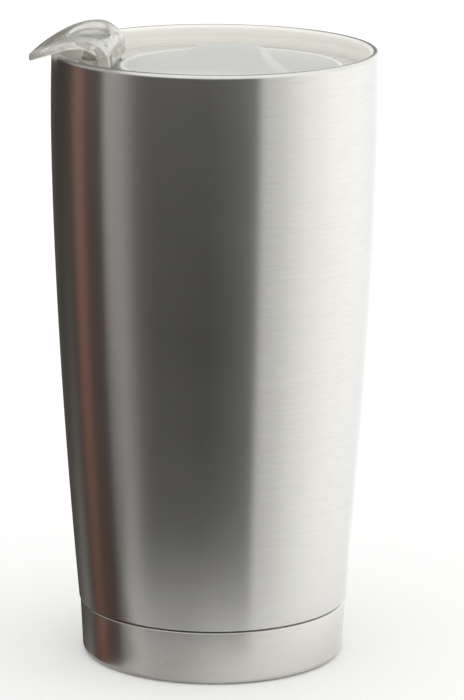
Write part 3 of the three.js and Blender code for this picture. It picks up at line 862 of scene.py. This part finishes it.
def lever_piece():
    lever = hood_piece()
    slot_top = HINGE_HEIGHT + LUG_RADIUS + GAP
    lug_middle = (LUG_OUTER + LUG_INNER) / 2
    slot = (6.6, LUG_OUTER - LUG_INNER + 2 * GAP, 10)
    cuts = [cube("cut", (HINGE_X + 0.7, side * lug_middle, slot_top - 5), slot) for side in (-1, 1)]
    cuts.append(cube("cut", (HINGE_X - 1.25, 0, HINGE_HEIGHT - 4.9), (5.2, 2 * LUG_INNER, 6)))
    combine(lever, "DIFFERENCE", cuts)
    half_knuckle = LUG_INNER - GAP
    knuckle = rod_across("knuckle", KNUCKLE_RADIUS, HINGE_X, HINGE_HEIGHT, -half_knuckle, half_knuckle)
    stem = oval("stem", rounded([(0, STEM_BOTTOM), (3, STEM_BOTTOM), (3.2, STEM_WAIST, 3),
                                 (4, STEM_TOP - 1, 3), (4.1, STEM_TOP), (0, STEM_TOP)], closed=False), SIP_X)
    combine(lever, "UNION", [knuckle, stem])
    hollow = oval("hollow", rounded([(0, STEM_BOTTOM - 1), (1.8, STEM_BOTTOM - 1), (2, STEM_WAIST, 1),
                                     (2.5, RIM_HEIGHT, 0.6), (0, RIM_HEIGHT)], closed=False), SIP_X)
    bore = rod_across("bore", PIN_RADIUS + KNUCKLE_PLAY, HINGE_X, HINGE_HEIGHT, -LUG_INNER, LUG_INNER)
    combine(lever, "DIFFERENCE", [recess_cutter(), hollow, bore])
    even_out(lever)
    return lever


def seal_piece():
    boot = oval("seal_plug", rounded([
        (0, SEAL_LOW.z), (3.2, SEAL_LOW.z, 0.5), (3.2, FLOOR_TOP + GAP, 0.2), (4.6, FLOOR_TOP + GAP, 0.3),
        (4.6, 164, 0.4), (4.15, 164.5, 0.3), (4.1, SEAL_HIGH.z, 0.3), (3.45, SEAL_HIGH.z, 0.2),
        (3.3, STEM_BOTTOM - GAP, 0.3), (0, STEM_BOTTOM - GAP),
    ], closed=False), SIP_X)
    return crease(boot, 50)


# ---- Stage, light and camera -----------------------------------------------------------------
CAMERA_AZIMUTH = 6.5
CAMERA_DISTANCE = 1085.48
CAMERA_HEIGHT = 343.45
CAMERA_PITCH = 13.406
CAMERA_YAW = 0.260
CAMERA_ROLL = 0.349
CAMERA_LENS = 209.27
CAMERA_SENSOR = 36
CAMERA_CLIP = (0.05, 20)          # in metres

# Radiance round the horizon, by azimuth from the camera's side of the object, positive to its right.
STUDIO = [
    (-180, (1.45, 1.45, 1.42)), (-178.5, (1.2, 1.2, 1.18)), (-175, (0.10, 0.09, 0.08)),
    (-140, (0.045, 0.038, 0.032)), (-122, (0.045, 0.036, 0.03)), (-115, (0.26, 0.13, 0.09)),
    (-108, (0.27, 0.135, 0.093)), (-102, (0.055, 0.038, 0.03)), (-87, (0.035, 0.03, 0.027)),
    (-82.5, (0.52, 0.50, 0.48)), (-77, (0.46, 0.45, 0.435)), (-68, (0.29, 0.285, 0.275)),
    (-58, (0.10, 0.098, 0.095)), (-45, (0.06, 0.059, 0.057)), (-6, (0.035, 0.034, 0.032)),
    (10, (0.065, 0.065, 0.062)), (30.3, (0.15, 0.15, 0.142)), (32.9, (0.70, 0.70, 0.68)),
    (45, (0.84, 0.84, 0.82)), (67, (1.24, 1.24, 1.2)), (94, (1.5, 1.5, 1.46)), (120, (1.5, 1.5, 1.47)),
    (150, (1.2, 1.22, 1.25)), (180, (1.45, 1.45, 1.42)),
]
# An edge is a measure of a direction, and the two values between which it counts from 0 to 1.
# Height, right and front are how far the direction points up, to the camera's right and towards
# the camera. Angle is the azimuth of STUDIO in radians.
LEAN_EDGES = [("angle", -1.95, -1.6), ("angle", -0.8, -1.3), ("height", -0.24, -0.42)]
LEAN = -0.13                      # shift of the azimuth there, so that a card's edge leans
REAR_START = (0.0, 0.09)          # height from which the rear card hides the horizon
REAR_LEFT_END = ("right", -0.45, -0.8)
REAR_RIGHT_END = ("right", 0.1, 0.3)
REAR_TONE = (0.24, 0.265, 0.245)  # the rear card is grey, and reflected by the lip
REAR_LEFT_TONE = (0.17, 0.155, 0.145)
OVERHEAD = (1.3, 1.3, 1.27)
OVERHEAD_START = (0.36, 0.6)      # height, where it isn't raised by the next two
OVERHEAD_LEFT_RAISE = 0.2
OVERHEAD_REAR_RAISE = 0.36
OVERHEAD_REAR = ("front", 0.0, -0.25)
# Further cards, each laid over the ones before it: colour, how much it covers, edges.
CARDS = [
    ((0.0, 0.0, 0.0), 0.25, [("height", -0.27, -0.42)]),  # shade near the floor
    # soft light to the left, above the reddish card
    ((0.60, 0.58, 0.56), 1.0, [("angle", -2.3, -2.1), ("angle", -0.9, -1.3), ("height", 0.05, 0.2)]),
    ((0.05, 0.015, 0.008), 0.9, [("height", -0.3, -0.42), ("angle", -1.7, -1.9)]),  # low dark strip
    ((0.44, 0.43, 0.41), 1.0, [("height", -0.3, -0.41), ("angle", -2.2, -2.5)]),    # low pale card
    ((1.35, 1.33, 1.28), 1.0, [("height", 0.22, 0.5), ("front", 0.1, 0.5)]),        # soft box in front
]
HAZE = 0.9                        # how much of what clear plastic lets through is an even white
HAZE_TONE = (1.0, 1.0, 0.98)
OPEN_AIR = 1.1                    # even light on everything that isn't a reflection
BACKDROP = (1.0, 1.0, 1.0)
# The floor in reflections, in metres from the axis: where it fades out, is dimmed, and makes room
# for the reddish card.
FLOOR_FADE = (0.04, 0.12)
FLOOR_DIM = (-0.015, 0.02)
FLOOR_DIM_SHARE = 0.45
FLOOR_REAR_EDGE = (-0.042, -0.034)
FLOOR_LEFT_EDGE = (0.025, 0.035)
FLOOR_SIZE = 3000
FLOOR_HEIGHT = -0.05


def level_axes():
    """Level directions to the right and away, as seen from the camera's side."""
    turn = math.radians(CAMERA_AZIMUTH)
    right = Vector((math.cos(turn), math.sin(turn), 0))
    away = Vector((-math.sin(turn), math.cos(turn), 0))
    return right, away


def camera_axes():
    """The camera's right, up and forward directions in the frame."""
    pitch, yaw, roll = (math.radians(a) for a in (CAMERA_PITCH, CAMERA_YAW, CAMERA_ROLL))
    turn = Matrix.Rotation(math.radians(CAMERA_AZIMUTH), 3, "Z")
    ahead = Vector((math.sin(yaw) * math.cos(pitch), math.cos(yaw) * math.cos(pitch), -math.sin(pitch)))
    forward = turn @ ahead
    level = turn @ Vector((math.cos(yaw), -math.sin(yaw), 0))
    upright = level.cross(forward)
    right = math.cos(roll) * level + math.sin(roll) * upright
    up = math.cos(roll) * upright - math.sin(roll) * level
    return right, up, forward


def make_camera():
    right, up, forward = camera_axes()
    camera = bpy.data.objects.new("camera", bpy.data.cameras.new("camera"))
    SCENE.collection.objects.link(camera)
    camera.data.sensor_width = CAMERA_SENSOR
    camera.data.lens = CAMERA_LENS
    camera.data.clip_start, camera.data.clip_end = CAMERA_CLIP
    turn = math.radians(CAMERA_AZIMUTH)
    place = Vector((CAMERA_DISTANCE * math.sin(turn), -CAMERA_DISTANCE * math.cos(turn), CAMERA_HEIGHT))
    axes = Matrix((right, up, -forward)).transposed()
    camera.matrix_world = Matrix.Translation(place * MM) @ axes.to_4x4()
    SCENE.camera = camera


class Sky(Nodes):
    """The world's nodes, with measures of the direction that a ray leaves the object in."""

    def __init__(self, world):
        super().__init__(world.node_tree, "Generated")
        right, away = level_axes()
        self.front = self.along(-away)
        self.right = self.along(right)
        self.angle = self.math("ARCTAN2", self.right, self.front)
        self.height = self.along((0, 0, 1))

    def past(self, measure, start, end):
        """0 to 1 as a measure of the direction goes from start to end."""
        return self.rise(getattr(self, measure), start, end)

    def inside(self, edges):
        """1 where the direction is past every edge."""
        share = self.past(*edges[0])
        for edge in edges[1:]:
            share = self.math("MULTIPLY", share, self.past(*edge))
        return share

    def horizon(self):
        """The colours of STUDIO round the horizon."""
        leaned = self.math("MULTIPLY_ADD", self.inside(LEAN_EDGES), LEAN, self.angle)
        ramp = self.node("ShaderNodeValToRGB")
        self.link(self.math("MULTIPLY_ADD", leaned, 1 / (2 * math.pi), 0.5), ramp.inputs[0])
        stops = ramp.color_ramp.elements
        while len(stops) > 1:
            stops.remove(stops[-1])
        for i, (degrees, colour) in enumerate(STUDIO):
            position = (degrees + 180) / 360
            stop = stops[0] if i == 0 else stops.new(position)
            stop.position = position
            stop.color = (*colour, 1)
        return ramp.outputs["Color"]

    def rear_card(self):
        """The grey card above and behind the object, and how much it hides the horizon."""
        tone = self.blend(self.past(*REAR_LEFT_END), REAR_TONE, REAR_LEFT_TONE)
        tone = self.blend(self.past(*REAR_RIGHT_END), tone, OVERHEAD)
        rear_height = self.math("MULTIPLY", self.height, self.math("LESS_THAN", self.front, 0))
        return self.rise(rear_height, *REAR_START), tone

    def overhead(self):
        """How much the bright ceiling hides what is below it."""
        height = self.math("MULTIPLY_ADD", self.past(*REAR_LEFT_END), -OVERHEAD_LEFT_RAISE, self.height)
        height = self.math("MULTIPLY_ADD", self.past(*OVERHEAD_REAR), -OVERHEAD_REAR_RAISE, height)
        return self.rise(height, *OVERHEAD_START)


def make_studio():
    """Soft studio all round. Reflections see its light and dark cards, clear plastic lets mostly
    white through, the camera sees a white backdrop, and everything else gets even light."""
    world = bpy.data.worlds.new("studio")
    SCENE.world = world
    world.use_nodes = True
    sky = Sky(world)
    hidden, rear_tone = sky.rear_card()
    seen = sky.blend(hidden, sky.horizon(), rear_tone)
    for tone, cover, edges in CARDS:
        seen = sky.blend(sky.math("MULTIPLY", sky.inside(edges), cover), seen, tone)
    seen = sky.blend(sky.overhead(), seen, OVERHEAD)
    path = sky.node("ShaderNodeLightPath").outputs
    seen = sky.blend(sky.math("MULTIPLY", path["Is Transmission Ray"], HAZE), seen, HAZE_TONE)
    seen = sky.blend(path["Is Diffuse Ray"], seen, (OPEN_AIR,) * 3)
    seen = sky.blend(path["Is Camera Ray"], seen, BACKDROP)
    sky.link(seen, sky.tree.nodes["Background"].inputs["Color"])


def floor_material():
    """White floor. Reflections see it only close to the object, beyond which the cards show."""
    paint = Paint("studio_floor")
    paint.set(Base_Color=(0.95, 0.95, 0.95, 1), Roughness=0.9, Specular_IOR_Level=0.0)
    right, away = level_axes()
    to_left = paint.along(-right)
    dimmed = paint.scaled(paint.rise(to_left, *FLOOR_DIM), 0, FLOOR_DIM_SHARE)
    faded = paint.math("MAXIMUM", paint.rise(paint.length(paint.place), *FLOOR_FADE), dimmed)
    rearward = paint.rise(paint.along(away), *FLOOR_REAR_EDGE)
    beside_card = paint.math("MULTIPLY", rearward, paint.rise(to_left, *FLOOR_LEFT_EDGE))
    glossy = paint.node("ShaderNodeLightPath").outputs["Is Glossy Ray"]
    hidden = paint.math("MULTIPLY", paint.math("MAXIMUM", faded, beside_card), glossy)
    mixed = paint.node("ShaderNodeMixShader")
    paint.link(hidden, mixed.inputs[0])
    paint.link(paint.shader.outputs[0], mixed.inputs[1])
    paint.link(paint.node("ShaderNodeBsdfTransparent").outputs[0], mixed.inputs[2])
    paint.link(mixed.outputs[0], paint.tree.nodes["Material Output"].inputs["Surface"])
    return paint.material


def make_floor():
    square = [(-1, -1), (1, -1), (1, 1), (-1, 1)]
    points = [(x * FLOOR_SIZE, y * FLOOR_SIZE, FLOOR_HEIGHT) for x, y in square]
    floor = add_object("floor", points, [[0, 1, 2, 3]])
    in_metres(floor)
    floor.data.materials.append(floor_material())


# ---- Everything together ---------------------------------------------------------------------
WALL_STEEL = brushed_steel("wall_steel", (0.64, 0.632, 0.615), 0.26, 0.9, lit_lip_tone=PALE_LIT_TONE)
# the liner's pale tone is partly painted light that brightens the inside of the cup
LINER_STEEL = brushed_steel("liner_steel", PALE_LIT_TONE, LINER_ROUGHNESS, 0.3, 0.015, LINER_METALLIC)
CAP_STEEL = brushed_steel("cap_steel", (0.66, 0.65, 0.62), 0.28, 0.85)
LID_PLASTIC = clear_plastic("lid_plastic", (0.97, 0.965, 0.94), 0.05, 0.5)
LEVER_PLASTIC = clear_plastic("lever_plastic", (0.88, 0.87, 0.82), 0.08, 0.76)
PIN_PLASTIC = clear_plastic("pin_plastic", (0.95, 0.95, 0.93), 0.08, 0.9)
# the panel's rim carries a painted highlight
PANEL_PLASTIC = moulded_plastic("panel_plastic", (0.64, 0.645, 0.62), 0.42, 0.15, coat=0.15, rim=True)
SOFT_SILICONE = moulded_plastic("soft_silicone", (0.78, 0.78, 0.75), 0.5, 0.4)

finish_piece(shell_piece(), "vessel", "outer_shell", WALL_STEEL)
finish_piece(liner_piece(), "vessel", "inner_liner", LINER_STEEL)
finish_piece(cap_piece(), "vessel", "base_cap", CAP_STEEL)
finish_piece(lid_piece(), "lid", "lid_body", LID_PLASTIC)
finish_piece(gasket_piece(), "lid", "lid_gasket", SOFT_SILICONE)
finish_piece(panel_piece(), "lid", "lid_panel", PANEL_PLASTIC)
finish_piece(pin_piece(), "lid", "hinge_pin", PIN_PLASTIC)
finish_piece(lever_piece(), "lever", "flip_lever", LEVER_PLASTIC)
finish_piece(seal_piece(), "lever", "plug_seal", SOFT_SILICONE)

HIDDEN = {
    "vacuum_bottom": plain_metal("bottom_steel", (0.55, 0.54, 0.52), 0.4),
    "vacuum_seal": plain_metal("seal_glass", (0.42, 0.44, 0.46), 0.3),
    "getter": plain_metal("getter_powder", (0.45, 0.43, 0.41), 0.6),
}
for node, material in HIDDEN.items():
    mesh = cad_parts[node].data
    mesh.materials.clear()
    mesh.materials.append(material)

make_floor()
make_studio()
make_camera()
SCENE.view_settings.view_transform = "Standard"

bpy.context.view_layer.update()
